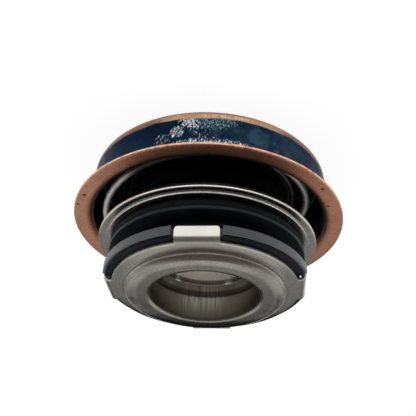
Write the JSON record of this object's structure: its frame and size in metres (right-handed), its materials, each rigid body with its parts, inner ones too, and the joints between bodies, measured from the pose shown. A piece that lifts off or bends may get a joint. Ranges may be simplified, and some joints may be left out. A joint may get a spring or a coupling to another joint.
{
  "type": "mechanical seal",
  "caption": "Cartridge face seal for a pump shaft: flanged copper-coloured cup, coil spring, rubber bellows, carbon ring and a flanged steel sleeve with drive tabs.",
  "frame": {"origin": "on the shaft axis, at the outside of the closed end of the case", "axes": "+Z along the shaft axis from the closed end of the case towards the sleeve's boss, +X towards the side that the middle coils of the spring lean to"},
  "size_m": [0.0414, 0.0414, 0.0205],
  "materials": {
    "copper": "drawn copper alloy sheet, satin, with small dark marks and nicks",
    "sealant": "blue paint-like sealant, glossy and uneven",
    "stainless": "drawn stainless sheet, satin, bright at the bends",
    "retainer_steel": "pressed stainless sheet, satin, with a bright rim",
    "seat_steel": "pressed steel ring, dull",
    "spring_wire": "drawn stainless spring wire",
    "carbon": "machined carbon graphite, dull",
    "ceramic": "lapped grey ceramic, dull on its rim",
    "rubber": "moulded black rubber, matt"
  },
  "bodies": {
    "housing": {"case": "copper", "sealant_band": "sealant", "spring_seat": "seat_steel", "bellows": "rubber", "spring": "spring_wire"},
    "head": {"carbon_ring": "carbon", "front_retainer": "retainer_steel"},
    "rotor": {"sleeve": "stainless", "mating_ring": "ceramic", "ring_cup": "rubber"}
  },
  "joints": [
    {"name": "face_travel", "type": "slide", "parent": "housing", "child": "head", "axis": [0, 0, 1], "range_m": [-0.0022, 0], "stiffness_N_per_m": 1500, "springref_m": 0.001, "deforming": ["spring", "bellows"]},
    {"name": "shaft_spin", "type": "hinge", "parent": "head", "child": "rotor", "pos_m": [0, 0, 0.017], "axis": [0, 0, 1], "continuous": true}
  ]
}
